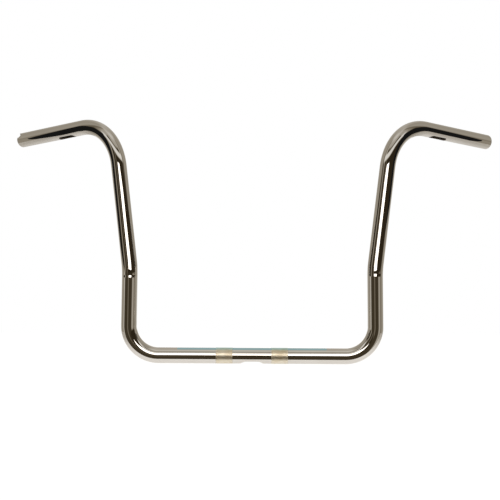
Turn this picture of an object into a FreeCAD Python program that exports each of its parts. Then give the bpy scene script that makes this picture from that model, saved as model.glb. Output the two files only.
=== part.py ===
import FreeCAD, Part
import os
from math import cos, radians, sin, tan

Vector = FreeCAD.Vector

# Motorcycle handlebar: one bent steel tube, in millimetres and degrees.
# The origin is on the crossbar's centreline, midway between the two clamp bands.
# +X runs along the crossbar to the rider's left, +Y back towards the rider, +Z up.

# Tube stock
tube_diameter = 25.4
wall_thickness = 2.4
end_edge_radius = 2.0

# Crossbar and its two clamp bands
crossbar_corner_x = 199.0
clamp_spacing = 88.9
clamp_band_length = 27.0
clamp_band_diameter = 25.8

# Bends, each radius measured to the tube's centreline
bottom_bend_radius = 48.0
kink_bend_radius = 90.0
top_bend_radius = 88.0

# Uprights: heights of the corners where the straight centrelines meet, and how far each stretch leans
kink_height = 138.5
top_corner_height = 380.0
lower_upright_lean_in = 1.0
upper_upright_lean_out = 7.75
upper_upright_lean_back = 11.5

# Grip sections, from the top corner out to the tube's end
grip_length_from_corner = 237.0
grip_sweep_back = 38.0
grip_drop = 5.0

# Wire slots through the lower wall
crossbar_slot_length = 38.0
crossbar_slot_width = 19.0
grip_slot_length = 40.0
grip_slot_width = 13.0
grip_slot_turn_forward = 7.5
left_grip_slot_from_end = 131.0
right_grip_slot_from_end = 124.0

# Index notch in the end face on the rider's right
notch_width = 10.5
notch_depth = 8.0
notch_turn_from_top = 50.0

# Tools that cut a wall reach this far past it
cut_overrun = 3.0

left, right = 1, -1
bore_diameter = tube_diameter - 2 * wall_thickness


def centreline_corners(side):
    """Corners of one half's centreline, from the middle of the crossbar to the tube's end."""
    upper_rise = top_corner_height - kink_height
    kink_x = crossbar_corner_x - kink_height * tan(radians(lower_upright_lean_in))
    top_x = kink_x + upper_rise * tan(radians(upper_upright_lean_out))
    top_y = upper_rise * tan(radians(upper_upright_lean_back))
    middle = Vector(0, 0, 0)
    bottom = Vector(side * crossbar_corner_x, 0, 0)
    kink = Vector(side * kink_x, 0, kink_height)
    top = Vector(side * top_x, top_y, top_corner_height)
    end = top + grip_direction(side) * grip_length_from_corner
    return [middle, bottom, kink, top, end]


def grip_direction(side):
    """Unit vector along a grip section, pointing out of the tube's end."""
    level = cos(radians(grip_drop))
    across = level * cos(radians(grip_sweep_back))
    back = level * sin(radians(grip_sweep_back))
    return Vector(side * across, back, -sin(radians(grip_drop)))


def bend_points(before, corner, after, radius):
    """Start, middle and end of the arc that rounds a corner of the centreline."""
    arriving = (corner - before).normalize()
    leaving = (after - corner).normalize()
    half_turn = arriving.getAngle(leaving) / 2
    setback = radius * tan(half_turn)
    start = corner - arriving * setback
    finish = corner + leaving * setback
    inward = (leaving - arriving).normalize()
    middle = corner + inward * (radius / cos(half_turn) - radius)
    return start, middle, finish


def half_centreline(side):
    """Edges of one half's centreline: straight runs joined by tangent arcs."""
    corners = centreline_corners(side)
    radii = [bottom_bend_radius, kink_bend_radius, top_bend_radius]
    edges = []
    reached = corners[0]
    for place, radius in enumerate(radii, start=1):
        start, middle, finish = bend_points(*corners[place - 1:place + 2], radius)
        edges.append(Part.LineSegment(reached, start).toShape())
        edges.append(Part.Arc(start, middle, finish).toShape())
        reached = finish
    edges.append(Part.LineSegment(reached, corners[-1]).toShape())
    return edges


def swept_round(side, diameter):
    """Solid round bar along one half of the centreline."""
    path = Part.Wire(half_centreline(side))
    section = Part.Wire(Part.Circle(Vector(0, 0, 0), Vector(side, 0, 0), diameter / 2).toShape())
    return path.makePipeShell([section], True, False)


def whole_length(diameter):
    """Solid round bar along the whole centreline, with the middle seam merged away."""
    return swept_round(left, diameter).fuse(swept_round(right, diameter)).removeSplitter()


def round_the_end(bar, side):
    """Round the outer edge of one tube end."""
    end = centreline_corners(side)[-1]
    rim = min(bar.Edges, key=lambda edge: edge.CenterOfMass.distanceToPoint(end))
    return bar.makeFillet(end_edge_radius, [rim])


def clamp_band(side):
    """Slightly proud knurled stretch that a riser clamp grips."""
    start_x = side * clamp_spacing / 2 - clamp_band_length / 2
    return Part.makeCylinder(clamp_band_diameter / 2, clamp_band_length, Vector(start_x, 0, 0), Vector(1, 0, 0))


def slot_cutter(centre, along, outward, length, width):
    """Rounded slot, cut from the tube's centreline out through one wall."""
    across = outward.cross(along)
    run = along * ((length - width) / 2)
    reach = across * (width / 2)
    cap = along * (length / 2)
    corners = [centre - run + reach, centre + run + reach, centre + run - reach, centre - run - reach]
    outline = Part.Wire([
        Part.LineSegment(corners[0], corners[1]).toShape(),
        Part.Arc(corners[1], centre + cap, corners[2]).toShape(),
        Part.LineSegment(corners[2], corners[3]).toShape(),
        Part.Arc(corners[3], centre - cap, corners[0]).toShape(),
    ])
    return Part.Face(outline).extrude(outward * (tube_diameter / 2 + cut_overrun))


def crossbar_slot():
    """Wire exit in the underside of the crossbar, at its middle."""
    return slot_cutter(Vector(0, 0, 0), Vector(1, 0, 0), Vector(0, 0, -1), crossbar_slot_length, crossbar_slot_width)


def across_grip(side, turn_from_top):
    """Unit vector square to a grip section, turned forwards from its highest side."""
    along = grip_direction(side)
    upward = Vector(0, 0, 1) - along * along.z
    upward.normalize()
    forward = upward.cross(along) * -side
    return upward * cos(radians(turn_from_top)) + forward * sin(radians(turn_from_top))


def grip_slot(side):
    """Wire exit in the underside of one grip section, near the top bend and turned a little forwards."""
    along = grip_direction(side)
    from_end = left_grip_slot_from_end if side == left else right_grip_slot_from_end
    centre = centreline_corners(side)[-1] - along * from_end
    outward = across_grip(side, 180 - grip_slot_turn_forward)
    return slot_cutter(centre, along, outward, grip_slot_length, grip_slot_width)


def end_notch(side):
    """Rounded notch in one tube end, open through the end face."""
    along = grip_direction(side)
    end = centreline_corners(side)[-1]
    length = 2 * notch_depth
    return slot_cutter(end, along, across_grip(side, notch_turn_from_top), length, notch_width)


def handlebar_tube():
    """The finished bar: outside, clamp bands, bore, wire slots and notch."""
    outside = whole_length(tube_diameter)
    for side in (left, right):
        outside = round_the_end(outside, side)
    outside = outside.fuse([clamp_band(left), clamp_band(right)])
    tube = outside.cut(whole_length(bore_diameter))
    cutters = [crossbar_slot(), grip_slot(left), grip_slot(right), end_notch(right)]
    return tube.cut(cutters).removeSplitter().Solids[0]


tube = handlebar_tube()
os.makedirs("parts", exist_ok=True)
tube.exportStep("parts/handlebar_tube.step")

box = tube.optimalBoundingBox()
print("handlebar_tube valid", tube.isValid(), "solids", len(tube.Solids), "faces", len(tube.Faces))
print("size %.1f x %.1f x %.1f mm" % (box.XLength, box.YLength, box.ZLength))
print("volume %.0f mm3" % tube.Volume)
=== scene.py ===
from math import cos, pi, radians, sin, tan

import bpy
from mathutils import Matrix, Vector, kdtree


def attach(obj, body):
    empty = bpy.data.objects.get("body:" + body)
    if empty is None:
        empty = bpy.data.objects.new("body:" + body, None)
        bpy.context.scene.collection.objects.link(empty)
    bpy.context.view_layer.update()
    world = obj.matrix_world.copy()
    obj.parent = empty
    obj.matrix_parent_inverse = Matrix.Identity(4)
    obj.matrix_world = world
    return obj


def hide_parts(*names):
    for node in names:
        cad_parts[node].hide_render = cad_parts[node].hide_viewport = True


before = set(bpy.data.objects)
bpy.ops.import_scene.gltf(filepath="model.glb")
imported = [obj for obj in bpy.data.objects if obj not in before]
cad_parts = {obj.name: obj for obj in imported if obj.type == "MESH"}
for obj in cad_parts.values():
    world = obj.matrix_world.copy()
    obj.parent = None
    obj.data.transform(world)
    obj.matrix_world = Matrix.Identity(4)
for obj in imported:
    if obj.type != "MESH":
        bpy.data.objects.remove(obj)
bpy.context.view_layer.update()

mm = 0.001
scene = bpy.context.scene
print("CAD frame in:", sorted(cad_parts))


# node helpers

def socketOf(ports, label):
    return next(port for port in ports if port.name == label and port.enabled)


class Board:
    def __init__(self, tree):
        self.tree = tree

    def add(self, kind, feeds=None, **settings):
        node = self.tree.nodes.new(kind)
        for key, value in settings.items():
            setattr(node, key, value)
        for label, value in (feeds or {}).items():
            self.feed(socketOf(node.inputs, label), value)
        return node

    def feed(self, port, value):
        if isinstance(value, bpy.types.Node):
            value = next(p for p in value.outputs if p.enabled)
        if isinstance(value, bpy.types.NodeSocket):
            self.tree.links.new(value, port)
        else:
            port.default_value = value

    def feedAll(self, node, values):
        for label, value in values.items():
            self.feed(node.inputs[label], value)

    def maths(self, operation, *values, clamp=False):
        node = self.add("ShaderNodeMath", operation=operation, use_clamp=clamp)
        for port, value in zip(node.inputs, values):
            self.feed(port, value)
        return node.outputs[0]


def newTree(name, kind, ports, outs):
    tree = bpy.data.node_groups.new(name, kind)
    for label, sort, value in ports:
        port = tree.interface.new_socket(label, in_out="INPUT", socket_type="NodeSocket" + sort)
        if value is not None:
            port.default_value = value
    for label, sort in outs:
        tree.interface.new_socket(label, in_out="OUTPUT", socket_type="NodeSocket" + sort)
    board = Board(tree)
    return tree, board, board.add("NodeGroupInput"), board.add("NodeGroupOutput")


def growMesh(name, seedMesh, tree, values):
    obj = bpy.data.objects.new(name, seedMesh)
    scene.collection.objects.link(obj)
    grower = obj.modifiers.new(tree.name, "NODES")
    grower.node_group = tree
    for port in tree.interface.items_tree:
        if port.in_out == "INPUT" and port.name in values:
            grower[port.identifier] = values[port.name]
    graph = bpy.context.evaluated_depsgraph_get()
    mesh = bpy.data.meshes.new_from_object(obj.evaluated_get(graph), depsgraph=graph)
    obj.modifiers.remove(grower)
    obj.data = mesh
    mesh.name = name
    return obj


# finishes

polish = {
    "smearDetail": 3.0, "hazeFrom": 0.42, "hazeTo": 0.68,
    "fineScale": 900.0, "fineDetail": 2.0, "fineShare": 0.02, "waveScale": 28.0, "waveDetail": 0.0,
}


def polishHaze():
    tree, board, given, out = newTree("polishHaze", "ShaderNodeTree", [
        ("Smear Scale", "Float", 40.0),
        ("Roughness Low", "Float", 0.03),
        ("Roughness High", "Float", 0.08),
        ("Tint Clean", "Color", (0.8, 0.8, 0.8, 1)),
        ("Tint Hazy", "Color", (0.7, 0.7, 0.7, 1)),
    ], [("Tint", "Color"), ("Roughness", "Float"), ("Height", "Float")])
    place = board.add("ShaderNodeTexCoord").outputs["Object"]
    smear = board.add("ShaderNodeTexNoise", {
        "Vector": place, "Scale": given.outputs["Smear Scale"], "Detail": polish["smearDetail"]})
    fine = board.add("ShaderNodeTexNoise", {
        "Vector": place, "Scale": polish["fineScale"], "Detail": polish["fineDetail"]})
    wave = board.add("ShaderNodeTexNoise", {
        "Vector": place, "Scale": polish["waveScale"], "Detail": polish["waveDetail"]})
    hazy = board.add("ShaderNodeMapRange", {
        "Value": smear.outputs["Fac"], "From Min": polish["hazeFrom"], "From Max": polish["hazeTo"]})
    tint = board.add("ShaderNodeMix", data_type="RGBA")
    board.feedAll(tint, {
        "Factor": hazy.outputs[0], 6: given.outputs["Tint Clean"], 7: given.outputs["Tint Hazy"]})
    rough = board.add("ShaderNodeMapRange", {
        "Value": hazy.outputs[0],
        "To Min": given.outputs["Roughness Low"], "To Max": given.outputs["Roughness High"]})
    height = board.maths("MULTIPLY_ADD", fine.outputs["Fac"], polish["fineShare"], wave.outputs["Fac"])
    board.feedAll(out, {"Tint": tint.outputs[2], "Roughness": rough.outputs[0], "Height": height})
    return tree


haze = polishHaze()


def metalFinish(name, look):
    finish = bpy.data.materials.new(name)
    finish.use_nodes = True
    board = Board(finish.node_tree)
    shader = finish.node_tree.nodes["Principled BSDF"]
    effect = board.add("ShaderNodeGroup", node_tree=haze)
    board.feedAll(effect, look["haze"])
    ripple = board.add("ShaderNodeBump", {
        "Height": effect.outputs["Height"], "Strength": look["ripple"], "Distance": look["rippleDepth"]})
    board.feedAll(shader, {
        "Metallic": look["metallic"], "Base Color": effect.outputs["Tint"],
        "Roughness": effect.outputs["Roughness"], "Normal": ripple.outputs[0]})
    finish.diffuse_color = look["haze"]["Tint Clean"]
    return finish


chromeLook = {
    "metallic": 1.0, "ripple": 0.12, "rippleDepth": 0.0002,
    "haze": {"Smear Scale": 26.0, "Roughness Low": 0.015, "Roughness High": 0.04,
             "Tint Clean": (0.80, 0.775, 0.735, 1), "Tint Hazy": (0.77, 0.742, 0.70, 1)},
}
knurlLook = {
    "metallic": 1.0, "ripple": 0.3, "rippleDepth": 0.0002,
    "haze": {"Smear Scale": 60.0, "Roughness Low": 0.34, "Roughness High": 0.4,
             "Tint Clean": (1.0, 0.95, 0.83, 1), "Tint Hazy": (0.92, 0.83, 0.65, 1)},
}
boreLook = {
    "metallic": 0.6, "ripple": 0.6, "rippleDepth": 0.0004,
    "haze": {"Smear Scale": 55.0, "Roughness Low": 0.42, "Roughness High": 0.62,
             "Tint Clean": (0.42, 0.38, 0.33, 1), "Tint Hazy": (0.25, 0.19, 0.14, 1)},
}
chromePlate = metalFinish("chromePlate", chromeLook)
knurlChrome = metalFinish("knurlChrome", knurlLook)
boreSteel = metalFinish("boreSteel", boreLook)
print("finishes ready")


# handlebar tube, in mm and degrees; side -1 is the rider's right

tube = {
    "radius": 12.7, "bore": 10.3, "boreReach": 4.0, "endEdge": 2.0,
    "crossbarCornerX": 199.0, "kinkHeight": 138.5, "topHeight": 380.0,
    "leanIn": 1.0, "leanOut": 7.75, "leanBack": 11.5,
    "bends": (48.0, 90.0, 88.0),
    "gripLength": 237.0, "gripSweep": 38.0, "gripDrop": 5.0,
    "crossbarSlot": (38.0, 19.0), "gripSlot": (40.0, 13.0), "gripSlotTurn": 172.5,
    "gripSlotFromEnd": {-1: 124.0, 1: 131.0},
    "notch": (16.0, 10.5), "notchTurn": 50.0,
    "roundSteps": 128, "boreSteps": 72, "bendSteps": 28, "edgeSteps": 6, "slotSteps": 20,
}
kinkFlat = {  # front of the kink, pulled in by the bender
    "depth": 0.6, "from": (127.0, 131.6), "until": (132.0, 228.0), "skew": 2.0,
    "rings": ((122.6, 0.5, 10), (152.0, 5.0, 17), (0, 0, 0)),  # after each bend: first height, gap, count
    "ownNormals": (122.0, 232.0),
}
shading = {"spotGap": 0.4, "sharpEdge": 28.0, "facing": 0.9, "sameGirth": 0.03}


def gripWay(side):
    level = cos(radians(tube["gripDrop"]))
    sweep = radians(tube["gripSweep"])
    return Vector((side * level * cos(sweep), level * sin(sweep), -sin(radians(tube["gripDrop"]))))


def barCorners(side):
    rise = tube["topHeight"] - tube["kinkHeight"]
    kinkX = tube["crossbarCornerX"] - tube["kinkHeight"] * tan(radians(tube["leanIn"]))
    topX = kinkX + rise * tan(radians(tube["leanOut"]))
    top = Vector((side * topX, rise * tan(radians(tube["leanBack"])), tube["topHeight"]))
    bottom = Vector((side * tube["crossbarCornerX"], 0, 0))
    kink = Vector((side * kinkX, 0, tube["kinkHeight"]))
    return [bottom, kink, top, top + gripWay(side) * tube["gripLength"]]


def centrelineSeed():
    stops = []  # place, bend radius, girth as a share of the tube's radius
    for side in (-1, 1):
        half = []
        corners = barCorners(side)
        for place, bend, after, rings in zip(corners, tube["bends"], corners[1:], kinkFlat["rings"]):
            half.append((place, bend, 1))
            first, gap, count = rings
            for step in range(count):
                share = (first + gap * step - place.z) / (after.z - place.z)
                half.append((place.lerp(after, share), 0, 1))
        edge = tube["endEdge"]
        for step in range(tube["edgeSteps"] + 1):
            turn = step / tube["edgeSteps"] * pi / 2
            place = corners[-1] - gripWay(side) * edge * (1 - sin(turn))
            half.append((place, 0, (tube["radius"] - edge * (1 - cos(turn))) / tube["radius"]))
        stops = half[::-1] if side < 0 else stops + half
    mesh = bpy.data.meshes.new("centreline")
    links = [(i, i + 1) for i in range(len(stops) - 1)]
    mesh.from_pydata([place * mm for place, _, _ in stops], links, [])
    bends = mesh.attributes.new("bendRadius", "FLOAT", "POINT")
    bends.data.foreach_set("value", [bend * mm for _, bend, _ in stops])
    girths = mesh.attributes.new("girth", "FLOAT", "POINT")
    girths.data.foreach_set("value", [girth for _, _, girth in stops])
    return mesh


def bentTubeTree():
    tree, board, given, out = newTree("bentTube", "GeometryNodeTree", [
        ("Centreline", "Geometry", None), ("Radius", "Float", 0.0127), ("Round Steps", "Int", 96),
        ("Bend Steps", "Int", 24), ("End Reach", "Float", 0.0), ("Follow Girth", "Float", 1.0),
    ], [("Solid", "Geometry")])
    bendRadius = board.add("GeometryNodeInputNamedAttribute", {"Name": "bendRadius"})
    girth = board.add("GeometryNodeInputNamedAttribute", {"Name": "girth"})
    line = board.add("GeometryNodeMeshToCurve", {"Mesh": given.outputs["Centreline"]})
    bent = board.add("GeometryNodeFilletCurve", mode="POLY")
    board.feedAll(bent, {"Curve": line, "Count": given.outputs["Bend Steps"], "Radius": bendRadius})
    way = board.add("GeometryNodeInputTangent").outputs[0]
    for starts, sign in ((1, -1), (0, 1)):
        picked = board.add("GeometryNodeCurveEndpointSelection", {
            "Start Size": starts, "End Size": 1 - starts})
        reach = board.add("ShaderNodeVectorMath", operation="SCALE")
        board.feedAll(reach, {0: way, "Scale": board.maths("MULTIPLY", given.outputs["End Reach"], sign)})
        bent = board.add("GeometryNodeSetPosition", {
            "Geometry": bent, "Selection": picked, "Offset": reach.outputs[0]})
    ring = board.add("GeometryNodeCurvePrimitiveCircle", {
        "Resolution": given.outputs["Round Steps"], "Radius": given.outputs["Radius"]})
    slim = board.maths("SUBTRACT", girth, 1.0)
    scale = board.maths("MULTIPLY_ADD", slim, given.outputs["Follow Girth"], 1.0)
    solid = board.add("GeometryNodeCurveToMesh", {
        "Curve": bent, "Profile Curve": ring, "Scale": scale, "Fill Caps": True})
    board.feed(out.inputs["Solid"], solid)
    return tree


def wireSlotTree():
    tree, board, given, out = newTree("wireSlot", "GeometryNodeTree", [
        ("Centre", "Vector", None), ("Along", "Vector", None), ("Outward", "Vector", None),
        ("Length", "Float", 0.04), ("Width", "Float", 0.013), ("Reach", "Float", 0.016),
    ], [("Cutter", "Geometry")])
    outline = board.add("GeometryNodeCurvePrimitiveQuadrilateral", {
        "Width": given.outputs["Length"], "Height": given.outputs["Width"]})
    halfWidth = board.maths("MULTIPLY", given.outputs["Width"], 0.4995)  # under half, so corners stay apart
    oval = board.add("GeometryNodeFilletCurve", mode="POLY")
    board.feedAll(oval, {"Curve": outline, "Count": tube["slotSteps"], "Radius": halfWidth})
    top = board.add("ShaderNodeCombineXYZ", {"Z": given.outputs["Reach"]})
    stalk = board.add("GeometryNodeCurvePrimitiveLine", {"End": top})
    block = board.add("GeometryNodeCurveToMesh", {"Curve": stalk, "Profile Curve": oval, "Fill Caps": True})
    turn = board.add("FunctionNodeAxesToRotation", {
        "Primary Axis": given.outputs["Outward"], "Secondary Axis": given.outputs["Along"]})
    placed = board.add("GeometryNodeTransform", {
        "Geometry": block, "Translation": given.outputs["Centre"], "Rotation": turn})
    board.feed(out.inputs["Cutter"], placed)
    return tree


bentTube = bentTubeTree()
wireSlot = wireSlotTree()


def squareTo(side, turn):
    along = gripWay(side)
    upward = (Vector((0, 0, 1)) - along * along.z).normalized()
    forward = upward.cross(along) * -side
    return upward * cos(radians(turn)) + forward * sin(radians(turn))


def slotPlaces():
    places = [(Vector((0, 0, 0)), Vector((1, 0, 0)), Vector((0, 0, -1)), tube["crossbarSlot"])]
    for side in (-1, 1):
        seat = barCorners(side)[-1] - gripWay(side) * tube["gripSlotFromEnd"][side]
        places.append((seat, gripWay(side), squareTo(side, tube["gripSlotTurn"]), tube["gripSlot"]))
    places.append((barCorners(-1)[-1], gripWay(-1), squareTo(-1, tube["notchTurn"]), tube["notch"]))
    return places


def kinkPull(board, depth):
    spot = board.add("ShaderNodeSeparateXYZ", {"Vector": board.add("GeometryNodeInputPosition")})
    across, _, height = spot.outputs
    height = board.maths("MULTIPLY_ADD", board.maths("SIGN", across), -kinkFlat["skew"] * mm, height)
    facing = board.add("GeometryNodeInputNormal").outputs[0]
    rearward = board.add("ShaderNodeSeparateXYZ", {"Vector": facing}).outputs["Y"]
    front = board.maths("MULTIPLY", rearward, -1.0, clamp=True)
    pull = board.maths("MULTIPLY", board.maths("MULTIPLY", front, front), depth)
    for (first, last), ends in ((kinkFlat["from"], (0.0, 1.0)), (kinkFlat["until"], (1.0, 0.0))):
        fade = board.add("ShaderNodeMapRange", interpolation_type="SMOOTHSTEP")
        board.feedAll(fade, dict(enumerate((height, first * mm, last * mm, *ends))))
        pull = board.maths("MULTIPLY", pull, fade.outputs[0])
    inward = board.add("ShaderNodeVectorMath", operation="SCALE")
    board.feedAll(inward, {0: facing, "Scale": board.maths("MULTIPLY", pull, -1.0)})
    return inward.outputs[0]


def handlebarTree():
    tree, board, given, out = newTree("handlebarTube", "GeometryNodeTree", [
        ("Centreline", "Geometry", None), ("Tube Radius", "Float", 0.0127),
        ("Bore Radius", "Float", 0.0103), ("Round Steps", "Int", 96), ("Bore Steps", "Int", 64),
        ("Bend Steps", "Int", 24), ("Kink Flat", "Float", 0.0),
        ("Plate", "Material", None), ("Bare Steel", "Material", None),
    ], [("Geometry", "Geometry")])
    outside = board.add("GeometryNodeGroup", node_tree=bentTube)
    hollow = board.add("GeometryNodeGroup", node_tree=bentTube)
    for group, radius, steps, reach, follow in (
            (outside, "Tube Radius", "Round Steps", 0.0, 1.0),
            (hollow, "Bore Radius", "Bore Steps", tube["boreReach"] * mm, 0.0)):
        board.feedAll(group, {
            "Centreline": given.outputs["Centreline"], "Radius": given.outputs[radius],
            "Round Steps": given.outputs[steps], "Bend Steps": given.outputs["Bend Steps"],
            "End Reach": reach, "Follow Girth": follow})
    pull = kinkPull(board, given.outputs["Kink Flat"])
    outside = board.add("GeometryNodeSetPosition", {"Geometry": outside, "Offset": pull})
    plate, bareSteel = given.outputs["Plate"], given.outputs["Bare Steel"]
    plated = board.add("GeometryNodeSetMaterial", {"Geometry": outside, "Material": plate})
    bare = board.add("GeometryNodeSetMaterial", {"Geometry": hollow, "Material": bareSteel})
    bored = board.add("GeometryNodeMeshBoolean", operation="DIFFERENCE", solver="MANIFOLD")
    board.feedAll(bored, {"Mesh 1": plated, "Mesh 2": bare})
    cut = board.add("GeometryNodeMeshBoolean", operation="DIFFERENCE", solver="MANIFOLD")
    board.feed(cut.inputs["Mesh 1"], bored)
    for centre, along, outward, (length, width) in slotPlaces():
        slot = board.add("GeometryNodeGroup", node_tree=wireSlot)
        board.feedAll(slot, {
            "Centre": centre * mm, "Along": along, "Outward": outward,
            "Length": length * mm, "Width": width * mm})
        edged = board.add("GeometryNodeSetMaterial", {"Geometry": slot, "Material": bareSteel})
        board.feed(cut.inputs["Mesh 2"], edged)
    board.feed(out.inputs["Geometry"], board.add("GeometryNodeRealizeInstances", {"Geometry": cut}))
    return tree


bar = growMesh("handlebarTube", centrelineSeed(), handlebarTree(), {
    "Tube Radius": tube["radius"] * mm, "Bore Radius": tube["bore"] * mm,
    "Round Steps": tube["roundSteps"], "Bore Steps": tube["boreSteps"], "Bend Steps": tube["bendSteps"],
    "Kink Flat": kinkFlat["depth"] * mm, "Plate": chromePlate, "Bare Steel": boreSteel,
})
print("tube:", len(bar.data.vertices), "points", len(bar.data.polygons), "faces")


def centrelineSamples():
    corners = barCorners(-1)[::-1] + barCorners(1)
    bends = tube["bends"][::-1] + tube["bends"]
    gap = shading["spotGap"]
    spots, ways = [], []

    def run(start, end):
        way = (end - start).normalized()
        count = max(2, int((end - start).length / gap))
        for step in range(count):
            spots.append((start + (end - start) * step / (count - 1)) * mm)
            ways.append(way)

    reached = corners[0]
    for before, corner, after, bend in zip(corners, corners[1:], corners[2:], bends):
        arriving, leaving = (corner - before).normalized(), (after - corner).normalized()
        angle = arriving.angle(leaving)
        start = corner - arriving * bend * tan(angle / 2)
        inward = (leaving - arriving * arriving.dot(leaving)).normalized()
        run(reached, start)
        count = int(bend * angle / gap)
        for step in range(1, count):
            turn = angle * step / count
            spots.append((start + inward * bend * (1 - cos(turn)) + arriving * bend * sin(turn)) * mm)
            ways.append(arriving * cos(turn) + inward * sin(turn))
        reached = corner + leaving * bend * tan(angle / 2)
    run(reached, corners[-1])
    return spots, ways


def trueNormals(obj):
    mesh = obj.data
    spots, ways = centrelineSamples()
    finder = kdtree.KDTree(len(spots))
    for index, spot in enumerate(spots):
        finder.insert(spot, index)
    finder.balance()
    radial = []
    flatFrom, flatUntil = kinkFlat["ownNormals"]
    for vertex in mesh.vertices:
        _, index, _ = finder.find(vertex.co)
        offset = vertex.co - spots[index]
        radial.append(offset - ways[index] * offset.dot(ways[index]))
        if flatFrom < vertex.co.z / mm < flatUntil:  # the flattened stretch keeps its own
            radial[-1] = Vector((0, 0, 0))
    for face in mesh.polygons:
        face.use_smooth = True
    mesh.set_sharp_from_angle(angle=radians(shading["sharpEdge"]))
    normals = [Vector((0, 0, 0))] * len(mesh.loops)
    for face in mesh.polygons:
        girths = [radial[v].length for v in face.vertices]
        even = max(girths) - min(girths) < shading["sameGirth"] * mm
        for corner in face.loop_indices:
            outward = radial[mesh.loops[corner].vertex_index].normalized()
            facing = outward.dot(face.normal)
            if abs(facing) > shading["facing"] and even:
                normals[corner] = outward if facing > 0 else -outward
    mesh.normals_split_custom_set(normals)


trueNormals(bar)


# knurled clamp bands

knurl = {
    "centre": 44.45, "length": 27.0, "crest": 12.86, "valley": 12.72,
    "around": 76, "rows": 26, "land": 0.8, "weld": 0.02,
}


def knurlTree():
    tree, board, given, out = newTree("clampKnurl", "GeometryNodeTree", [
        ("Geometry", "Geometry", None), ("Centre", "Float", 0.044), ("Length", "Float", 0.027),
        ("Crest Radius", "Float", 0.0129), ("Valley Radius", "Float", 0.0125),
        ("Around", "Int", 56), ("Rows", "Int", 16), ("Land", "Float", 0.6), ("Weld", "Float", 0.00002),
        ("Finish", "Material", None),
    ], [("Geometry", "Geometry")])
    stepX = board.maths("DIVIDE", given.outputs["Length"], given.outputs["Rows"])
    stepY = board.maths("DIVIDE", 2 * pi, given.outputs["Around"])
    height = board.maths("SUBTRACT", given.outputs["Crest Radius"], given.outputs["Valley Radius"])
    pointed = board.add("GeometryNodeMeshCone", {
        "Vertices": 4, "Side Segments": 1, "Fill Segments": 1,
        "Radius Top": given.outputs["Land"], "Radius Bottom": 1.0, "Depth": 1.0}, fill_type="NGON")
    size = board.add("ShaderNodeCombineXYZ", {
        "X": board.maths("MULTIPLY", stepX, 0.5), "Y": board.maths("MULTIPLY", stepY, 0.5), "Z": height})
    fields = board.add("GeometryNodeJoinGeometry")
    for shift in (0, 1):  # the second field sits in the gaps of the first
        rows = board.maths("SUBTRACT", given.outputs["Rows"], shift)
        width = board.maths("MULTIPLY", stepX, board.maths("SUBTRACT", rows, 1))
        girth = board.maths("MULTIPLY", stepY, board.maths("SUBTRACT", given.outputs["Around"], 1))
        grid = board.add("GeometryNodeMeshGrid", {
            "Size X": width, "Size Y": girth, "Vertices X": rows, "Vertices Y": given.outputs["Around"]})
        slide = board.add("ShaderNodeCombineXYZ", {"Y": board.maths("MULTIPLY", stepY, shift / 2)})
        placed = board.add("GeometryNodeTransform", {
            "Geometry": socketOf(grid.outputs, "Mesh"), "Translation": slide})
        dots = board.add("GeometryNodeInstanceOnPoints", {
            "Points": placed, "Instance": socketOf(pointed.outputs, "Mesh"), "Scale": size})
        board.feed(fields.inputs[0], dots)
    flat = board.add("GeometryNodeRealizeInstances", {"Geometry": fields})
    at = board.add("ShaderNodeSeparateXYZ", {"Vector": board.add("GeometryNodeInputPosition")})
    radius = board.maths("ADD", at.outputs["Z"], given.outputs["Valley Radius"])
    wrapped = board.add("ShaderNodeCombineXYZ", {  # wrapped this way round, the faces point outwards
        "X": board.maths("ADD", at.outputs["X"], given.outputs["Centre"]),
        "Y": board.maths("MULTIPLY", radius, board.maths("SINE", at.outputs["Y"])),
        "Z": board.maths("MULTIPLY", radius, board.maths("COSINE", at.outputs["Y"]))})
    rolled = board.add("GeometryNodeSetPosition", {"Geometry": flat, "Position": wrapped})
    welded = board.add("GeometryNodeMergeByDistance", {
        "Geometry": rolled, "Distance": given.outputs["Weld"]})
    finished = board.add("GeometryNodeSetMaterial", {
        "Geometry": welded, "Material": given.outputs["Finish"]})
    board.feed(out.inputs["Geometry"], finished)
    return tree


clampKnurl = knurlTree()
bands = []
for label, side in (("knurlBandRight", -1), ("knurlBandLeft", 1)):
    band = growMesh(label, bpy.data.meshes.new(label + "Seed"), clampKnurl, {
        "Centre": side * knurl["centre"] * mm, "Length": knurl["length"] * mm,
        "Crest Radius": knurl["crest"] * mm, "Valley Radius": knurl["valley"] * mm,
        "Around": knurl["around"], "Rows": knurl["rows"], "Land": knurl["land"],
        "Weld": knurl["weld"] * mm, "Finish": knurlChrome,
    })
    bands.append(band)
print("knurl:", [len(band.data.polygons) for band in bands])

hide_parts("handlebar_tube")
for piece in [bar, *bands]:
    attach(piece, "root")


# studio, in metres

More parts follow.
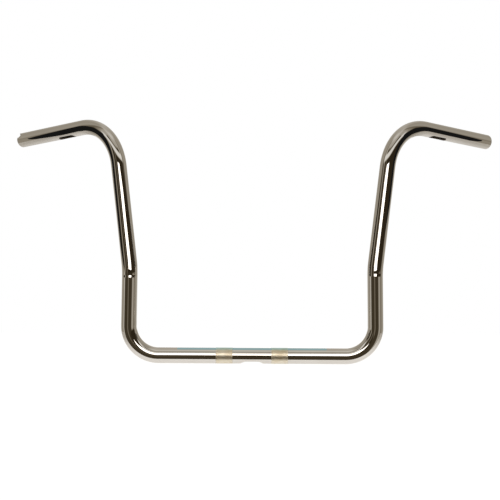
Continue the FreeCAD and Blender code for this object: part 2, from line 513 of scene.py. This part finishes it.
floor = {
    "left": -1.5, "right": 1.5, "front": -0.27, "back": 3.0, "drop": -0.30,
    "color": (0.84, 0.82, 0.78, 1), "lift": (0.74, 0.75, 0.78, 1), "roughness": 0.9,
    # the next values set a painted glow that the chrome sees on the floor, strongest in the middle and
    # fading towards the sides
    "paintedGlowStrength": 0.68, "paintedGlowEdge": (0.4, 1.0), "paintedGlowFade": 0.7,
}
softbox = {
    "place": (0.1, -1.95, 0.905), "width": 1.28, "height": 1.0,
    "watts": 9.8, "color": (1.0, 0.955, 0.9),
}
paintedCards = {  # painted reflections, seen only by the chrome: corners, then shine
    # two near-black sheets that only the chrome sees: painted dark reflections on the uprights and bends
    "paintedDarkReflectionRight": (
        [(-0.55, -0.06, 0.14), (-0.55, 0.16, 0.17), (-0.55, 0.16, 0.35), (-0.55, -0.06, 0.58)],
        (0.01, 0.01, 0.01, 1)),
    "paintedDarkReflectionLeft": (
        [(0.55, -0.06, 0.58), (0.55, 0.16, 0.36), (0.55, 0.16, 0.255), (0.55, -0.06, 0.22)],
        (0.01, 0.01, 0.01, 1)),
    # a glowing teal sheet just above the crossbar that only the chrome sees: a painted teal reflection
    # along the crossbar's top
    "paintedTealReflection": (
        [(-0.12, 0.0028, 0.014), (0.12, 0.0028, 0.014), (0.12, -0.0068, 0.014), (-0.12, -0.0068, 0.014)],
        (0.32, 0.48, 0.51, 1)),
}
room = {  # brightness against degrees round from the camera side
    "skirting": [(0, 0.05), (70, 0.06), (84, 0.3), (104, 0.32), (128, 0.38), (150, 0.8), (180, 0.95)],
    "walls": [(0, 0.03), (66, 0.03), (84, 0.04), (92, 0.38), (130, 0.34), (180, 0.5)],
    "ceiling": [(0, 0.66), (90, 0.55), (180, 0.45)],
    "wallsFrom": (1, 2), "ceilingFrom": (72, 5),  # each edge: degrees, then softness
    "cornice": {"from": (57, 3), "dipFrom": (62, 10), "dip": 30, "half": (80, 10), "shine": 0.44},
    "lowStrips": [(-74, 7, 0.6), (56, 14, 0.4)],
    "highStrips": [(-61, 6, 0.33), (-31, 6, 0.13)],
    "sills": [(-12, 6, -5, 4, 0.2)],
    "stripSoft": 3, "sillSoft": 1.5,
    "hoop": {"rise": 46, "spread": 0.62, "half": (6, 2), "ends": (72, 3), "shine": 0.8},
    "warmth": (1.0, 1.09, 1.26),
    "backdrop": (0.962, 0.008),
}


def plainCard(name, corners, paint):
    mesh = bpy.data.meshes.new(name)
    mesh.from_pydata(corners, [], [(0, 1, 2, 3)])
    mesh.materials.append(paint)
    sheet = bpy.data.objects.new(name, mesh)
    scene.collection.objects.link(sheet)
    return sheet


def paleFloor():
    paint = bpy.data.materials.new("paleFloor")
    paint.use_nodes = True
    board = Board(paint.node_tree)
    shader = paint.node_tree.nodes["Principled BSDF"]
    seen = board.add("ShaderNodeLightPath").outputs
    bounced = board.maths("ADD", seen["Is Glossy Ray"], seen["Is Transmission Ray"], clamp=True)
    spot = board.add("ShaderNodeSeparateXYZ", {"Vector": board.add("ShaderNodeTexCoord").outputs["Object"]})
    # the floor glows for glossy rays too: a painted pool of light seen only in the chrome, fading towards
    # the sides
    inner, outer = floor["paintedGlowEdge"]
    paintedGlowPool = board.add("ShaderNodeMapRange", {
        "Value": board.maths("ABSOLUTE", spot.outputs["X"]), "From Min": inner, "From Max": outer,
        "To Min": floor["paintedGlowStrength"], "To Max": floor["paintedGlowStrength"] * (1 - floor["paintedGlowFade"])})
    board.feedAll(shader, {
        "Base Color": floor["color"], "Roughness": floor["roughness"], "Specular IOR Level": 0.0,
        "Emission Color": floor["lift"],
        "Emission Strength": board.maths("MULTIPLY_ADD", bounced, paintedGlowPool, seen["Is Camera Ray"])})
    left, right, front, back, drop = (floor[key] for key in ("left", "right", "front", "back", "drop"))
    corners = [(left, front, drop), (right, front, drop), (right, back, drop), (left, back, drop)]
    plainCard("floor", corners, paint)


def paintedReflectionCards():
    for name, (corners, shine) in paintedCards.items():
        paint = bpy.data.materials.new(name)
        paint.use_nodes = True
        board = Board(paint.node_tree)
        rear = board.add("ShaderNodeNewGeometry").outputs["Backfacing"]
        board.feedAll(paint.node_tree.nodes["Principled BSDF"], {
            "Base Color": (0, 0, 0, 1), "Specular IOR Level": 0.0,
            "Emission Color": shine, "Emission Strength": 1.0,
            "Alpha": board.maths("SUBTRACT", 1.0, rear)})  # one-sided
        card = plainCard(name, corners, paint)
        # hidden from camera, diffuse and shadow rays, so these cards only paint reflections into the chrome
        card.visible_camera = card.visible_diffuse = card.visible_shadow = False


def softLight():
    lamp = bpy.data.lights.new("softbox", "AREA")
    lamp.shape = "RECTANGLE"
    lamp.size, lamp.size_y = softbox["width"], softbox["height"]
    lamp.energy = softbox["watts"]
    lamp.color = softbox["color"]
    light = bpy.data.objects.new("softbox", lamp)
    scene.collection.objects.link(light)
    light.location = softbox["place"]
    light.rotation_euler = (radians(90), 0, 0)
    light.visible_camera = False


def studioWorld():
    world = bpy.data.worlds.new("studioRoom")
    scene.world = world
    world.use_nodes = True
    board = Board(world.node_tree)
    ground = world.node_tree.nodes["Background"]
    perRadian = 180 / pi
    way = board.add("ShaderNodeTexCoord").outputs["Generated"]
    x, y, z = board.add("ShaderNodeSeparateXYZ", {"Vector": way}).outputs
    height = board.maths("MULTIPLY", board.maths("ARCSINE", z), perRadian)
    turn = board.maths("ARCTAN2", x, board.maths("MULTIPLY", y, -1.0))
    turn = board.maths("MULTIPLY", turn, perRadian)
    away = board.maths("ABSOLUTE", turn)

    def ramp(stops):
        node = board.add("ShaderNodeValToRGB", {"Fac": board.maths("DIVIDE", away, 180.0)})
        points = node.color_ramp.elements
        while len(points) < len(stops):
            points.new(0.5)
        for point, (degrees, bright) in zip(points, stops):
            point.position = degrees / 180
            point.color = grey(bright)
        return node.outputs[0]

    def past(value, start, soft):
        return board.add("ShaderNodeMapRange", {
            "Value": value, "From Min": start - soft, "From Max": start + soft}).outputs[0]

    def within(value, centre, half, soft):
        off = board.maths("ABSOLUTE", board.maths("SUBTRACT", value, centre))
        return board.maths("SUBTRACT", 1.0, past(off, half, soft))

    def mix(share, low, high):
        mixer = board.add("ShaderNodeMix", data_type="RGBA")
        board.feedAll(mixer, {0: share, 6: low, 7: high})
        return mixer.outputs[2]

    def grey(bright):
        return (bright, bright, bright, 1)

    soft, cornice, hoop = room["stripSoft"], room["cornice"], room["hoop"]
    low, high = ramp(room["skirting"]), ramp(room["walls"])
    for centre, half, bright in room["lowStrips"]:
        low = mix(within(turn, centre, half, soft), low, grey(bright))
    for centre, half, bright in room["highStrips"]:
        high = mix(within(turn, centre, half, soft), high, grey(bright))
    tone = mix(past(height, *room["wallsFrom"]), low, high)
    for centre, half, rise, deep, bright in room["sills"]:
        level = within(height, rise, deep, room["sillSoft"])
        patch = board.maths("MULTIPLY", within(turn, centre, half, soft), level)
        tone = mix(patch, tone, grey(bright))
    dip = board.maths("MULTIPLY", past(away, *cornice["dipFrom"]), cornice["dip"])
    shelf = past(board.maths("ADD", height, dip), *cornice["from"])
    shelf = board.maths("MULTIPLY", within(turn, 0, *cornice["half"]), shelf)
    tone = mix(shelf, tone, grey(cornice["shine"]))
    tone = mix(past(height, *room["ceilingFrom"]), tone, ramp(room["ceiling"]))
    arch = board.maths("COSINE", board.maths("MULTIPLY", turn, hoop["spread"] / perRadian))
    arch = board.maths("ARCTANGENT", board.maths("MULTIPLY", arch, tan(radians(hoop["rise"]))))
    arch = board.maths("MULTIPLY", arch, perRadian)
    lit = within(board.maths("SUBTRACT", height, arch), 0, *hoop["half"])
    lit = board.maths("MULTIPLY", lit, within(turn, 0, *hoop["ends"]))
    tone = mix(lit, tone, grey(hoop["shine"]))
    warm = [board.maths("POWER", tone, curve) for curve in room["warmth"]]
    tone = board.add("ShaderNodeCombineColor", dict(zip(("Red", "Green", "Blue"), warm)))
    seen = board.add("ShaderNodeLightPath").outputs
    bounced = board.maths("ADD", seen["Is Glossy Ray"], seen["Is Transmission Ray"], clamp=True)
    backdrop = board.maths("MULTIPLY", bounced, past(y, *room["backdrop"]))
    tone = mix(board.maths("ADD", seen["Is Camera Ray"], backdrop, clamp=True), tone, grey(1.0))
    board.feed(ground.inputs["Color"], tone)


paleFloor()
paintedReflectionCards()
softLight()
studioWorld()
print("studio lit")


# camera

view = {
    "place": (0.0138, -1.62791, 0.21583), "yaw": -0.01087, "pitch": 0.02806, "roll": 0.00484,
    "lens": 73.105, "sensor": 36.0,
}


def photoCamera():
    data = bpy.data.cameras.new("photoCamera")
    data.sensor_width = view["sensor"]
    data.sensor_fit = "HORIZONTAL"
    data.lens = view["lens"]
    camera = bpy.data.objects.new("photoCamera", data)
    scene.collection.objects.link(camera)
    yaw, pitch, roll = view["yaw"], view["pitch"], view["roll"]
    ahead = Vector((sin(yaw) * cos(pitch), cos(yaw) * cos(pitch), -sin(pitch)))
    right = Vector((cos(yaw), -sin(yaw), 0))
    up = right.cross(ahead)
    rightward = right * cos(roll) + up * sin(roll)
    upward = up * cos(roll) - right * sin(roll)
    turn = Matrix((rightward, upward, -ahead)).transposed().to_4x4()
    camera.matrix_world = Matrix.Translation(Vector(view["place"])) @ turn
    scene.camera = camera


photoCamera()
scene.view_settings.view_transform = "Standard"
